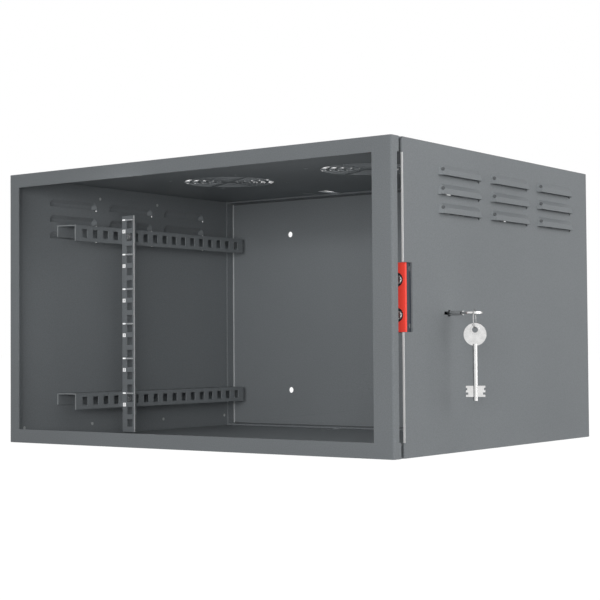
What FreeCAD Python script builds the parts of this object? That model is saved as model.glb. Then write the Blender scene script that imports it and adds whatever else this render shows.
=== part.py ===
import FreeCAD, Part
import math
import os
import Sketcher
from FreeCAD import Placement, Rotation, Vector

os.makedirs("parts", exist_ok=True)
doc = FreeCAD.newDocument("wall_mount_rack")
sheet = doc.addObject("Spreadsheet::Sheet", "Sizes")


# Sizes: each one is a row of the sheet and a value that can be used in arithmetic


class Measure:
    """A number together with the sheet formula that gives it."""

    def __init__(self, number, formula):
        self.number = number
        self.formula = formula

    def __add__(self, other):
        return Measure(self.number + plain(other), f"({self.formula} + {written(other)})")

    def __sub__(self, other):
        return Measure(self.number - plain(other), f"({self.formula} - {written(other)})")

    def __mul__(self, other):
        return Measure(self.number * plain(other), f"({self.formula} * {written(other)})")

    def __truediv__(self, other):
        return Measure(self.number / plain(other), f"({self.formula} / {written(other)})")

    def __neg__(self):
        return Measure(-self.number, f"(-1 * {self.formula})")

    def __radd__(self, other):
        return self + other

    def __rmul__(self, other):
        return self * other

    def __rsub__(self, other):
        return -self + other


def plain(value):
    return value.number if isinstance(value, Measure) else value


def written(value):
    return value.formula if isinstance(value, Measure) else f"({value})"


def root(value):
    return Measure(math.sqrt(value.number), f"sqrt({value.formula})")


size_rows = []


def size(alias, number, meaning):
    """Write one driving size to the sheet."""
    size_rows.append(alias)
    row = len(size_rows)
    sheet.set(f"A{row}", meaning)
    sheet.set(f"B{row}", str(number))
    sheet.setAlias(f"B{row}", alias)
    return Measure(number, f"Sizes.{alias}")


# Rack rails: these standard sizes set the cabinet's width and height
rail_opening = size("rail_opening", 450, "clear width between the rails")
rail_face = size("rail_face", 20, "width of a rail's front flange")
rail_leg = size("rail_leg", 24, "depth of a rail's side leg")
rail_sheet = size("rail_sheet", 2, "sheet of a rail")
rail_foot = size("rail_foot", 5, "bottom of the rails")
rail_end = size("rail_end", 5.1, "rail's end to the nearest rack unit")
rail_fixing_back = size("rail_fixing_back", 8, "rail's face to its fixing screws")
unit_height = size("unit_height", 44.45, "one rack unit")
unit_count = 6
rack_hole = size("rack_hole", 9.5, "side of a rail's square holes")
rack_hole_past = size("rack_hole_past", 7.55, "rail's inner edge to its hole centres")

# Cabinet case
side_space = size("side_space", 30, "rail to the outside of the case")
head_space = size("head_space", 40.1, "top of the rails to the top of the case")
case_depth = size("case_depth", 440, "front face to rear edge of the sides")
case_sheet = size("case_sheet", 2, "sheet of the case and front frame")
bend_radius = size("bend_radius", 2.4, "outside radius of the frame's folded edges")
rail_length = unit_height * unit_count + rail_end * 2
case_width = rail_opening + (rail_face + side_space) * 2
case_height = rail_foot + rail_length + head_space

# Front frame
band_left = size("band_left", 16.3, "left band of the front frame")
band_right = size("band_right", 24, "right band of the front frame")
band_level = size("band_level", 16, "top and bottom bands of the front frame")
left_step = size("left_step", 1, "left side set in behind the ends of the bands")
step_height = size("step_height", 14, "height of each band end that stands out")
slot_front = size("slot_front", 10, "front face to the sliding panel's slot")
slot_width = size("slot_width", 10, "width of the sliding panel's slot")
return_overlap = size("return_overlap", 3.4, "frame's folded side past the slot's front")
guide_sheet = size("guide_sheet", 1.5, "sheet of the slide guides")
guide_drop = size("guide_drop", 10.5, "height of a slide guide's upright leg")
guide_foot = size("guide_foot", 16, "width of a slide guide's welded leg")
frame_return = slot_front + return_overlap
side_front = slot_front + slot_width

# Back panel, a shallow tray welded between the sides
back_inset = size("back_inset", 13.4, "rear edge of the case to the tray")
tray_depth = size("tray_depth", 15.4, "depth of the tray's folded rim")
wall_hole = size("wall_hole", 8, "diameter of a wall fixing hole")
wall_hole_side = size("wall_hole_side", 107, "wall fixing hole to the outside of the case")
wall_hole_level = size("wall_hole_level", 52.5, "wall fixing hole to the top or bottom")

# Louvres
louvre_room = size("louvre_room", 177.5, "depth of a side that its three louvres leave free")
louvre_rise = size("louvre_rise", 11, "height of a louvre")
louvre_reach = size("louvre_reach", 5.5, "how far a louvre stands out")
louvre_taper = size("louvre_taper", 5.2, "how far a louvre's end slopes in")
louvre_row_gap = size("louvre_row_gap", 9, "plain sheet between one louvre and the next below")
louvre_top_drop = size("louvre_top_drop", 32.2, "top of the case to the top row's open edge")
louvre_relief = size("louvre_relief", 3.8, "width of the relief notch at a louvre's rear end")
louvre_gap_right = size("louvre_gap_right", 22.5, "right side, louvre to louvre")
louvre_gap_left = size("louvre_gap_left", 18.7, "left side, louvre to louvre")
louvre_shift_right = size("louvre_shift_right", 22.5, "right side, middle column behind the case's middle")
louvre_shift_left = size("louvre_shift_left", 7.3, "left side, middle column in front of the case's middle")
louvre_length = (case_depth - louvre_room) / 3

# Fan grilles and cable entries
fan_bolt_square = size("fan_bolt_square", 105, "fan fixing holes, hole to hole")
fan_gap = size("fan_gap", 105, "fixing holes of one fan to those of the other")
fan_forward = size("fan_forward", 7, "fan centres in front of the case's middle")
grille_inset = size("grille_inset", 3.5, "grille's edge outside the square of its fixing holes")
grille_pitch = size("grille_pitch", 9.8, "grille ring to ring")
grille_slot = size("grille_slot", 6, "width of a grille slot")
grille_spoke = size("grille_spoke", 4, "width of a grille spoke")
fan_bolt_hole = size("fan_bolt_hole", 4.5, "diameter of a fan fixing hole")
entry_offset = size("entry_offset", 77, "cabinet centre line to a cable entry")
entry_width = size("entry_width", 14, "width of a cable entry")
entry_length = size("entry_length", 38, "length of a cable entry")
entry_gap = size("entry_gap", 1.2, "cable entry to the back tray")
tie_gap = size("tie_gap", 24.5, "cable entry to its tie slit")
tie_width = size("tie_width", 3, "width of a cable tie slit")
tie_length = size("tie_length", 30, "length of a cable tie slit")

# Brackets along the sides
bracket_sheet = size("bracket_sheet", 1.5, "sheet of a bracket")
bracket_face = size("bracket_face", 20, "height of a bracket's drilled face")
bracket_wall_leg = size("bracket_wall_leg", 14.5, "height of a bracket's welded leg")
bracket_front = size("bracket_front", 77, "front face to a bracket's welded leg")
bracket_skew = size("bracket_skew", 5.5, "how far a bracket's face starts behind its welded leg")
bracket_end = size("bracket_end", 25, "rear edge of the case to a bracket's rear end")
bracket_drop = size("bracket_drop", 56, "top of the case to the upper brackets")
bracket_low = size("bracket_low", 56.5, "top of the lower brackets")
bracket_notch = size("bracket_notch", 0.4, "clearance of a bracket round the back tray")
bracket_hole = size("bracket_hole", 9.5, "width of a bracket's holes")
bracket_hole_rise = size("bracket_hole_rise", 10.5, "height of a bracket's holes")
hole_lead = size("hole_lead", 22, "bracket's front end to its first hole")
hole_tail = size("hole_tail", 16, "bracket's last hole to its rear end")
bracket_hole_count = 17
rail_hole_index = 4
bracket_high = case_height - bracket_drop
bracket_length = case_depth - bracket_front - bracket_end
hole_pitch = (bracket_length - hole_lead - hole_tail) / (bracket_hole_count - 1)

# Rail screws
rail_screw = size("rail_screw", 6, "diameter of a rail screw")
rail_screw_length = size("rail_screw_length", 12, "length of a rail screw under its head")
rail_screw_head = size("rail_screw_head", 11, "diameter of a rail screw's head")
rail_head_rise = size("rail_head_rise", 3.2, "height of a rail screw's head")
rail_nut = size("rail_nut", 10, "width across a rail nut")
rail_nut_rise = size("rail_nut_rise", 5, "thickness of a rail nut")

# Keys
key_bow = size("key_bow", 23.5, "diameter of a key's bow")
key_bow_sheet = size("key_bow_sheet", 2, "thickness of a key's bow")
key_shank = size("key_shank", 4.8, "diameter of a key's shank")
key_tip = size("key_tip", 4, "length of a key's tip beyond its bits")
bit_span = size("bit_span", 20, "width across a key's two bits")
bit_sheet = size("bit_sheet", 2.2, "thickness of the bits")
bit_deep = size("bit_deep", 2.4, "depth of the deeper cut in a bit")
bit_shallow = size("bit_shallow", 1.4, "depth of the other cut in a bit")
key_eye = size("key_eye", 6, "diameter of the hole in a key's bow")
eye_rim = size("eye_rim", 1.8, "width of the rim round that hole")
eye_proud = size("eye_proud", 0.35, "how far the rim stands proud of the bow")
eye_edge = size("eye_edge", 3.95, "hole to the bow's edge")
key_reach = size("key_reach", 37.9, "how far the key in the lock stands out")
keyhole_gap = size("keyhole_gap", 1.4, "keyhole's clearance round the shank")
keyhole_ends = size("keyhole_ends", 0.5, "keyhole's clearance at the ends of the bits")
ring_size = size("ring_size", 20, "outside diameter of the key ring")
ring_wire = size("ring_wire", 1.5, "wire of the key ring")
ring_turn = size("ring_turn", 21, "angle of the ring from the cabinet's depth, in degrees")
spare_turn = size("spare_turn", 35, "angle of the spare key's face from the front, in degrees")
hang_gap = size("hang_gap", 0.2, "gap between the ring and what it carries")
key_eye_offset = key_bow / 2 - eye_edge - key_eye / 2
bit_sweep = root(bit_span * bit_span + bit_sheet * bit_sheet) / 2

# Lock across its thickness, measured inwards from the right side's outer face
bolt_size = size("bolt_size", 10, "diameter of a bolt")
bolt_inset = size("bolt_inset", 12, "right side's outer face to the bolts")
tail_gap = size("tail_gap", 10.5, "bolts to the bolt tail's flat")
tail_sheet = size("tail_sheet", 3, "sheet of the bolt tail")
lever_sheet = size("lever_sheet", 1.6, "thickness of a lever")
lever_pitch = size("lever_pitch", 2.1, "lever to lever")
plate_gap = size("plate_gap", 0.9, "clearance beside the tail and the levers")
lock_wall = size("lock_wall", 1.5, "sheet of the lock case and cover")
lever_count = 3
tail_inset = bolt_inset + bolt_size / 2 + tail_gap
lever_inset = tail_inset + tail_sheet + plate_gap
lever_far = lever_inset + lever_pitch * (lever_count - 1) + lever_sheet
lock_depth = lever_far + plate_gap * 2 + lock_wall - case_sheet
bit_height = lever_far - tail_inset + plate_gap * 2
key_length = key_reach + lever_far + plate_gap + key_tip

# Lock from its front face backwards
lock_set_back = size("lock_set_back", 6, "right side's front edge to the lock's face plate")
face_plate = size("face_plate", 3, "thickness of the lock's face plate")
notch_past = size("notch_past", 7.5, "lock's face plate to the rear of the notch")
bolt_length = size("bolt_length", 33, "length of a bolt")
bolt_nose = size("bolt_nose", 1.5, "chamfer at a bolt's nose")
bolt_window = size("bolt_window", 4.5, "bolt hole in the face plate, wider than the bolt by")
bolt_fit = size("bolt_fit", 0.3, "clearance round a bolt in the lock case")
bolt_travel = size("bolt_travel", 12, "throw of the bolts")
bolt_shank = size("bolt_shank", 6, "diameter of a bolt's riveted end")
stump_size = size("stump_size", 5, "diameter of the bolt tail's stump")
stump_past = size("stump_past", 18, "bolt tail's folded end to its stump")
key_past = size("key_past", 29.3, "stump to the keyhole")
pivot_past = size("pivot_past", 2.7, "keyhole to the lever post")
pivot_size = size("pivot_size", 6, "diameter of the lever post")
lock_tail = size("lock_tail", 15.7, "keyhole to the lock's rear wall")
lock_front = side_front + lock_set_back
notch_rear = lock_front + face_plate + notch_past
stump_back = lock_front + bolt_length + tail_sheet + stump_past
key_back = stump_back + key_past
pivot_back = key_back + pivot_past
lock_rear = key_back + lock_tail

# Lock from its bottom edge upwards
bolt_edge = size("bolt_edge", 17.2, "lock's bottom or top edge to a bolt")
key_edge = size("key_edge", 20, "lock's bottom edge to the keyhole")
arm_gap = size("arm_gap", 1.4, "clearance between the key's sweep and the plates")
stump_rise = size("stump_rise", 12.5, "levers' bottom edge to the stump")
pivot_rise = size("pivot_rise", 10, "stump to the lever post")
lever_rim = size("lever_rim", 6, "lever post to the levers' top edge")
lock_head = size("lock_head", 10, "levers' top edge to the lock's top edge")
yoke_edge = size("yoke_edge", 10.5, "lock's bottom edge to the bolt tail")
gate_gap = size("gate_gap", 1, "clearance of the stump in the lever gates")
gate_lift = size("gate_lift", 4, "room under the stump for the levers to lift")
lever_lead = size("lever_lead", 5, "levers past the stump's forward place")
lever_back = size("lever_back", 5, "lever post to the levers' rear edge")
spring_sheet = size("spring_sheet", 0.5, "sheet of a lever spring")
spring_length = size("spring_length", 16, "length of a lever spring")
stud_size = size("stud_size", 5, "diameter of a lock stud")
stud_edge = size("stud_edge", 6, "lock edge to a lock stud")
stud_nut = size("stud_nut", 8, "width across a lock nut's flats")
stud_nut_rise = size("stud_nut_rise", 3.5, "thickness of a lock nut")
running_gap = size("running_gap", 0.05, "radial clearance of a turning fit")
lock_height = key_edge + bit_sweep + arm_gap + stump_rise + pivot_rise + lever_rim + lock_head

# Planes that several pieces share; the origin is the middle of the underside
front = -case_depth / 2
rear = case_depth / 2
right_out = case_width / 2
right_in = right_out - case_sheet
left_out = -case_width / 2 + left_step
left_in = left_out + case_sheet
floor_in = case_sheet
roof_in = case_height - case_sheet
mid_level = case_height / 2
rail_out = rail_opening / 2 + rail_face
tray_face = rear - back_inset
tray_front = tray_face - tray_depth
notch_low = mid_level - lock_height / 2
notch_high = mid_level + lock_height / 2
key_level = notch_low + key_edge
lever_low = key_level + bit_sweep + arm_gap
stump_level = lever_low + stump_rise
pivot_level = stump_level + pivot_rise
lever_top = pivot_level + lever_rim


# Ways to make a piece


def bind(item, prop, value):
    """Give a property its value, as a formula where it comes from the sheet."""
    if isinstance(value, Measure):
        item.setExpression(prop, value.formula)
    else:
        setattr(item, prop, value)


def place(item, x, y, z):
    for axis, value in zip("xyz", (x, y, z)):
        item.setExpression(f"Placement.Base.{axis}", written(value))


def new_body(label):
    return doc.addObject("PartDesign::Body", label)


def new_sketch(body, name, role, distance):
    """A sketch on one of the body's own planes, moved along that plane's normal."""
    item = body.newObject("Sketcher::SketchObject", name)
    planes = [entry for entry in body.Origin.OriginFeatures if entry.Role == role]
    item.AttachmentSupport = [(planes[0], "")]
    item.MapMode = "FlatFace"
    item.setExpression("AttachmentOffset.Base.z", written(distance))
    return item


def fix_point(item, geometry, end, point):
    for kind, value in zip(("DistanceX", "DistanceY"), point):
        rule = Sketcher.Constraint(kind, -1, 1, geometry, end, plain(value))
        index = item.addConstraint(rule)
        item.setExpression(f"Constraints[{index}]", written(value))


def draw_outline(item, points):
    """A closed outline of straight lines, each corner held by its two distances."""
    first = item.GeometryCount
    count = len(points)
    for index in range(count):
        start = Vector(*[plain(value) for value in points[index]], 0)
        finish = Vector(*[plain(value) for value in points[(index + 1) % count]], 0)
        item.addGeometry(Part.LineSegment(start, finish))
    for index in range(count):
        following = first + (index + 1) % count
        item.addConstraint(Sketcher.Constraint("Coincident", first + index, 2, following, 1))
        fix_point(item, first + index, 1, points[index])


def draw_rectangle(item, low, high):
    draw_outline(item, [low, (high[0], low[1]), high, (low[0], high[1])])


def draw_circle(item, centre, diameter):
    middle = Vector(plain(centre[0]), plain(centre[1]), 0)
    index = item.addGeometry(Part.Circle(middle, Vector(0, 0, 1), plain(diameter) / 2))
    fix_point(item, index, 3, centre)
    rule = item.addConstraint(Sketcher.Constraint("Diameter", index, plain(diameter)))
    item.setExpression(f"Constraints[{rule}]", written(diameter))


def draw_slot(item, centre, width, length):
    """A round-ended slot along the sketch's second axis."""
    half = width / 2
    reach = length / 2 - half
    x_mid, y_mid = centre
    top = Vector(plain(x_mid), plain(y_mid + reach), 0)
    bottom = Vector(plain(x_mid), plain(y_mid - reach), 0)
    radius = plain(half)
    upper = item.addGeometry(Part.ArcOfCircle(Part.Circle(top, Vector(0, 0, 1), radius), 0, math.pi))
    lower = item.addGeometry(
        Part.ArcOfCircle(Part.Circle(bottom, Vector(0, 0, 1), radius), math.pi, 2 * math.pi))
    left = item.addGeometry(Part.LineSegment(top - Vector(radius, 0, 0), bottom - Vector(radius, 0, 0)))
    right = item.addGeometry(Part.LineSegment(bottom + Vector(radius, 0, 0), top + Vector(radius, 0, 0)))
    for pair in ((upper, 2, left, 1), (left, 2, lower, 1), (lower, 2, right, 1), (right, 2, upper, 1)):
        item.addConstraint(Sketcher.Constraint("Tangent", *pair))
    fix_point(item, upper, 3, (x_mid, y_mid + reach))
    fix_point(item, lower, 3, (x_mid, y_mid - reach))
    rule = item.addConstraint(Sketcher.Constraint("Radius", upper, radius))
    item.setExpression(f"Constraints[{rule}]", written(half))


def pad(body, item, length, flip=False):
    feature = body.newObject("PartDesign::Pad", item.Name + "_pad")
    feature.Profile = item
    bind(feature, "Length", length)
    feature.Reversed = flip
    return feature


def cut_through(body, item):
    feature = body.newObject("PartDesign::Pocket", item.Name + "_cut")
    feature.Profile = item
    feature.Type = "ThroughAll"
    feature.Midplane = True
    return feature


def cut_to(body, item, depth, flip=False):
    feature = body.newObject("PartDesign::Pocket", item.Name + "_cut")
    feature.Profile = item
    bind(feature, "Length", depth)
    feature.Reversed = flip
    return feature


def upright_edges(shape, axis, spots):
    """Names of the straight edges along an axis whose other two coordinates match a spot."""
    names = []
    others = [place_axis for place_axis in (0, 1, 2) if place_axis != axis]
    for number, edge in enumerate(shape.Edges, 1):
        if edge.Curve.TypeId != "Part::GeomLine":
            continue
        ends = [vertex.Point for vertex in edge.Vertexes]
        if len(ends) < 2 or abs(ends[1][axis] - ends[0][axis]) < 1e-3:
            continue
        for spot in spots:
            away = max(abs(ends[side][others[which]] - plain(spot[which]))
                       for side in (0, 1) for which in (0, 1))
            if away < 1e-3:
                names.append(f"Edge{number}")
    return names


def round_edges(body, axis, spots, radius):
    """Fillet the body's edges that run along an axis at the given spots."""
    doc.recompute()
    base = body.Tip
    feature = body.newObject("PartDesign::Fillet", body.Name + "_round")
    feature.Base = (base, upright_edges(base.Shape, axis, spots))
    bind(feature, "Radius", radius)
    return feature


def cylinder(name, diameter, length, point, along):
    """A Part cylinder that starts at a point and runs along an axis."""
    item = doc.addObject("Part::Cylinder", name)
    bind(item, "Radius", diameter / 2)
    bind(item, "Height", length)
    item.Placement = Placement(Vector(0, 0, 0), Rotation(Vector(0, 0, 1), along))
    place(item, *point)
    return item


def box(name, low, extent):
    item = doc.addObject("Part::Box", name)
    for prop, value in zip(("Length", "Width", "Height"), extent):
        bind(item, prop, value)
    place(item, *low)
    return item


def subtract(name, base, tools):
    """Take one or more tools away from a base."""
    item = doc.addObject("Part::Cut", name)
    item.Base = base
    item.Tool = tools[0] if len(tools) == 1 else gather(name + "_tools", tools)
    return item


def gather(name, members):
    item = doc.addObject("Part::Compound", name)
    item.Links = members
    return item


def unite(name, members):
    item = doc.addObject("Part::MultiFuse", name)
    item.Shapes = members
    item.Refine = True
    return item


finished = {}


def finish(label, item):
    """Count an object as one of the sub-parts."""
    item.Label = label
    finished[label] = item


RIGHT = Vector(1, 0, 0)
LEFT = Vector(-1, 0, 0)
BACK = Vector(0, 1, 0)
UP = Vector(0, 0, 1)


# Front frame: a folded picture frame with a notch in its right return for the sliding panel

frame = new_body("frame_body")
face = new_sketch(frame, "frame_face", "XZ_Plane", -front)
outer = -case_width / 2
draw_outline(face, [
    (outer, 0), (right_out, 0), (right_out, case_height), (outer, case_height),
    (outer, case_height - step_height), (left_out, case_height - step_height),
    (left_out, step_height), (outer, step_height)])
draw_rectangle(face, (outer + band_left, band_level),
               (right_out - band_right, case_height - band_level))
pad(frame, face, case_sheet, flip=True)
right_return = new_sketch(frame, "frame_right_return", "YZ_Plane", right_out)
draw_outline(right_return, [
    (front, 0), (front + frame_return, 0), (front + frame_return, band_level),
    (front + slot_front, band_level), (front + slot_front, case_height - band_level),
    (front + frame_return, case_height - band_level),
    (front + frame_return, case_height), (front, case_height)])
pad(frame, right_return, case_sheet, flip=True)
left_return = new_sketch(frame, "frame_left_return", "YZ_Plane", left_out)
draw_rectangle(left_return, (front, 0), (front + frame_return, case_height))
pad(frame, left_return, case_sheet)
round_edges(frame, 2, [(right_out, front), (left_out, front)], bend_radius)
finish("front_frame", frame)


# Slide guides: angles behind the top and bottom bands, which make the sliding panel's channels

guide_front = front + side_front
guide_left = left_in
for label, edge, inward in (("top_slide_guide", roof_in, -1), ("bottom_slide_guide", floor_in, 1)):
    guide = new_body(label + "_body")
    section = new_sketch(guide, label + "_section", "YZ_Plane", guide_left)
    draw_outline(section, [
        (guide_front, edge), (guide_front + guide_foot, edge),
        (guide_front + guide_foot, edge + guide_sheet * inward),
        (guide_front + guide_sheet, edge + guide_sheet * inward),
        (guide_front + guide_sheet, edge + guide_drop * inward),
        (guide_front, edge + guide_drop * inward)])
    pad(guide, section, right_in - guide_left)
    finish(label, guide)


# Louvres: hoods pressed out of the sheet, with a sloping front, a bulge and tapered ends


def hood(length, rise, reach, taper):
    """A solid hood on its base line: outward is +X, along is Y and up is Z."""
    half = length / 2
    corners = {}
    for side in (-1, 1):
        corners[side] = [
            Vector(0, side * half, 0),
            Vector(0, side * (half - taper * 0.2), rise * 0.6),
            Vector(0, side * (half - taper), rise),
            Vector(reach, side * (half - taper * 0.9), 0),
            Vector(reach * 0.78, side * (half - taper * 1.1), rise * 0.55)]
    low, mid, top, lip, bulge = range(5)
    one, two = corners[-1], corners[1]
    outlines = [
        [one[low], one[lip], two[lip], two[low]],
        [one[lip], one[bulge], two[bulge], two[lip]],
        [one[bulge], one[top], two[top], two[bulge]],
        [one[low], two[low], two[mid], two[top], one[top], one[mid]]]
    for end in (one, two):
        outlines.append([end[low], end[bulge], end[lip]])
        outlines.append([end[low], end[mid], end[bulge]])
        outlines.append([end[mid], end[top], end[bulge]])
    faces = [Part.Face(Part.makePolygon(points + [points[0]])) for points in outlines]
    body = Part.Solid(Part.Shell(faces))
    if body.Volume < 0:
        body.reverse()
    return body


def louvre_grid(name, solid, shift, gap, outward, base):
    """Nine copies of a shape, three columns by three rows, facing left or right."""
    turned = solid.copy()
    if outward < 0:
        turned.rotate(Vector(0, 0, 0), UP, 180)
    pitch = louvre_length.number + gap.number
    row_pitch = louvre_rise.number + louvre_row_gap.number
    copies = []
    for column in (-1, 0, 1):
        for row in (0, 1, 2):
            level = case_height.number - louvre_top_drop.number - row * row_pitch
            along = shift.number + column * pitch
            copies.append(turned.translated(Vector(base, along, level)))
    item = doc.addObject("Part::Feature", name)
    item.Shape = Part.makeCompound(copies)
    return item


wall = case_sheet.number
outer_hood = hood(louvre_length.number, louvre_rise.number, louvre_reach.number, louvre_taper.number)
inner_hood = hood(louvre_length.number - 2 * wall, louvre_rise.number - wall,
                  louvre_reach.number, louvre_taper.number)
relief_half = louvre_relief.number / 2
relief_place = louvre_length.number / 2 - 1.5 * wall


def hollow(outward):
    """The space under a hood, with a relief notch at the end that comes to face the rear."""
    corners = []
    for turn in range(8):
        angle = math.radians(22.5 + 45 * turn)
        corners.append(Vector(-0.5, outward * relief_place + relief_half * math.cos(angle),
                              relief_half * (math.sin(angle) - 0.25)))
    notch = Part.Face(Part.makePolygon(corners + [corners[0]]))
    return inner_hood.fuse(notch.extrude(Vector(wall + 0.5, 0, 0)))


def louvred(label, body, shift, gap, outward, outer_face):
    """Press the louvres out of a side's flat sheet."""
    inner_face = outer_face.number - outward * wall
    bulges = louvre_grid(label + "_bulges", outer_hood, shift, gap, outward, outer_face.number)
    hollows = louvre_grid(label + "_hollows", hollow(outward), shift, gap, outward, inner_face)
    raised = unite(label + "_raised", [body, bulges])
    return subtract(label + "_pressed", raised, [hollows])


# Right side: notched for the lock's face, pierced for the key, louvred near the top

right_side = new_body("right_side_body")
outline = new_sketch(right_side, "right_side_outline", "YZ_Plane", right_out)
draw_outline(outline, [
    (front + side_front, 0), (rear, 0), (rear, case_height), (front + side_front, case_height),
    (front + side_front, notch_high), (front + notch_rear, notch_high),
    (front + notch_rear, notch_low), (front + side_front, notch_low)])
pad(right_side, outline, case_sheet, flip=True)


def cut_keyhole(body, name, distance, depth):
    """A round hole for the shank, then a slit for the two bits."""
    hole = new_sketch(body, name + "_hole", "YZ_Plane", distance)
    draw_circle(hole, (front + key_back, key_level), key_shank + keyhole_gap * 2)
    cut_to(body, hole, depth)
    slit = new_sketch(body, name + "_slit", "YZ_Plane", distance)
    along = bit_span / 2 + keyhole_ends
    up = bit_sheet / 2 + keyhole_ends
    draw_rectangle(slit, (front + key_back - along, key_level - up),
                   (front + key_back + along, key_level + up))
    cut_to(body, slit, depth)


cut_keyhole(right_side, "right_side_keyhole", right_out, case_sheet)
finish("right_side_panel", louvred("right_side", right_side, louvre_shift_right,
                                   louvre_gap_right, 1, right_out))


# Left side: a plain sheet with its own louvres

left_side = new_body("left_side_body")
outline = new_sketch(left_side, "left_side_outline", "YZ_Plane", left_out)
draw_rectangle(outline, (front + frame_return, 0), (rear, case_height))
pad(left_side, outline, case_sheet)
finish("left_side_panel", louvred("left_side", left_side, -louvre_shift_left,
                                  louvre_gap_left, -1, left_out))


# Top and bottom: flat sheets between the sides, with cable entries near the back


def level_sheet(label, bottom):
    body = new_body(label + "_body")
    outline = new_sketch(body, label + "_outline", "XY_Plane", bottom)
    draw_rectangle(outline, (left_in, front + case_sheet), (right_in, rear))
    pad(body, outline, case_sheet)
    entries = new_sketch(body, label + "_entries", "XY_Plane", bottom)
    entry_mid = tray_front - entry_gap - entry_length / 2
    tie_offset = entry_offset + entry_width / 2 + tie_gap + tie_width / 2
    for side in (-1, 1):
        draw_slot(entries, (entry_offset * side, entry_mid), entry_width, entry_length)
        draw_slot(entries, (tie_offset * side, entry_mid), tie_width, tie_length)
    cut_through(body, entries)
    return body


finish("bottom_panel", level_sheet("bottom", Measure(0, "0")))
roof = level_sheet("top", roof_in)
fan_offset = (fan_gap + fan_bolt_square) / 2
fan_bolts = new_sketch(roof, "top_fan_bolts", "XY_Plane", roof_in)
for side in (-1, 1):
    for across in (-1, 1):
        for along in (-1, 1):
            centre = (fan_offset * side + fan_bolt_square / 2 * across,
                      fan_bolt_square / 2 * along - fan_forward)
            draw_circle(fan_bolts, centre, fan_bolt_hole)
cut_through(roof, fan_bolts)


# Fan grilles: rings of slots, broken by three spokes that run right across


def grille_tool(name, x_centre):
    """What the punch takes out of the roof: the rings less the spokes."""
    thick = case_sheet.number * 2
    rings = []
    outer = fan_bolt_square.number / 2 + grille_inset.number
    radius = outer
    while radius - grille_slot.number > grille_slot.number / 2:
        tube = Part.makeCylinder(radius, thick).cut(
            Part.makeCylinder(radius - grille_slot.number, thick))
        rings.append(tube)
        radius -= grille_pitch.number
    spokes = []
    for turn in (30, 90, 150):
        bar = Part.makeBox(2 * outer + 2, grille_spoke.number, thick)
        bar.translate(Vector(-outer - 1, -grille_spoke.number / 2, 0))
        bar.rotate(Vector(0, 0, 0), UP, turn)
        spokes.append(bar)
    item = doc.addObject("Part::Feature", name)
    item.Shape = Part.makeCompound(rings).cut(spokes)
    item.Placement = Placement(Vector(x_centre, -fan_forward.number, roof_in.number - thick / 4), Rotation())
    return item


grilles = [grille_tool("grille_left", -fan_offset.number), grille_tool("grille_right", fan_offset.number)]
finish("top_panel", subtract("top_pierced", roof, grilles))


# Back panel: a shallow tray, its rim folded forward, with four wall fixing holes

tray = new_body("tray_body")
block = new_sketch(tray, "tray_block", "XZ_Plane", -tray_face)
draw_rectangle(block, (left_in, floor_in), (right_in, roof_in))
pad(tray, block, tray_depth)
hollow = new_sketch(tray, "tray_hollow", "XZ_Plane", -tray_front)
draw_rectangle(hollow, (left_in + case_sheet, floor_in + case_sheet),
               (right_in - case_sheet, roof_in - case_sheet))
cut_to(tray, hollow, tray_depth - case_sheet)
fixings = new_sketch(tray, "tray_fixings", "XZ_Plane", -tray_face)
for side in (-1, 1):
    for level in (-1, 1):
        draw_circle(fixings, ((case_width / 2 - wall_hole_side) * side,
                              mid_level + (mid_level - wall_hole_level) * level), wall_hole)
cut_through(tray, fixings)
finish("back_panel", tray)


# Brackets: inverted channels welded along the sides, with a row of square holes


def side_bracket(label, side, top):
    """A channel from the side's inner face to the rails' plane, open below."""
    wall_face = right_in if side > 0 else left_in
    inner = rail_out * side
    thin = bracket_sheet * side
    body = new_body(label + "_body")
    section = new_sketch(body, label + "_section", "XZ_Plane", -(front + bracket_front))
    draw_outline(section, [
        (wall_face, top), (inner, top), (inner, top - bracket_face),
        (inner + thin, top - bracket_face), (inner + thin, top - bracket_sheet),
        (wall_face - thin, top - bracket_sheet), (wall_face - thin, top - bracket_wall_leg),
        (wall_face, top - bracket_wall_leg)])
    pad(body, section, bracket_length, flip=True)
    skew = new_sketch(body, label + "_skew", "XY_Plane", top)
    draw_outline(skew, [(wall_face, front + bracket_front), (inner, front + bracket_front),
                        (inner, front + bracket_front + bracket_skew)])
    cut_to(body, skew, bracket_face)
    notch = new_sketch(body, label + "_notch", "XY_Plane", top)
    draw_rectangle(notch, (wall_face, tray_front - bracket_notch),
                   (wall_face - (case_sheet + bracket_notch) * side, rear - bracket_end))
    cut_to(body, notch, bracket_face)
    hole = new_sketch(body, label + "_hole", "YZ_Plane", inner)
    hole_mid = top - bracket_face / 2
    first_hole = front + bracket_front + hole_lead
    draw_rectangle(hole, (first_hole - bracket_hole / 2, hole_mid - bracket_hole_rise / 2),
                   (first_hole + bracket_hole / 2, hole_mid + bracket_hole_rise / 2))
    opening = cut_to(body, hole, bracket_sheet * 1.5, flip=side > 0)
    row = body.newObject("PartDesign::LinearPattern", label + "_row")
    row.Originals = [opening]
    row.Direction = (hole, ["H_Axis"])
    row.Mode = "Extent"
    bind(row, "Length", hole_pitch * (bracket_hole_count - 1))
    row.Occurrences = bracket_hole_count
    body.Tip = row
    finish(label, body)


for level_word, top in (("upper", bracket_high), ("lower", bracket_low)):
    side_bracket(f"bracket_{level_word}_left", -1, top)
    side_bracket(f"bracket_{level_word}_right", 1, top)


# Rack rails: angles with three square holes to each rack unit

fixing_back = front + bracket_front + hole_lead + hole_pitch * rail_hole_index
fixing_levels = (bracket_high - bracket_face / 2, bracket_low - bracket_face / 2)


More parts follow.
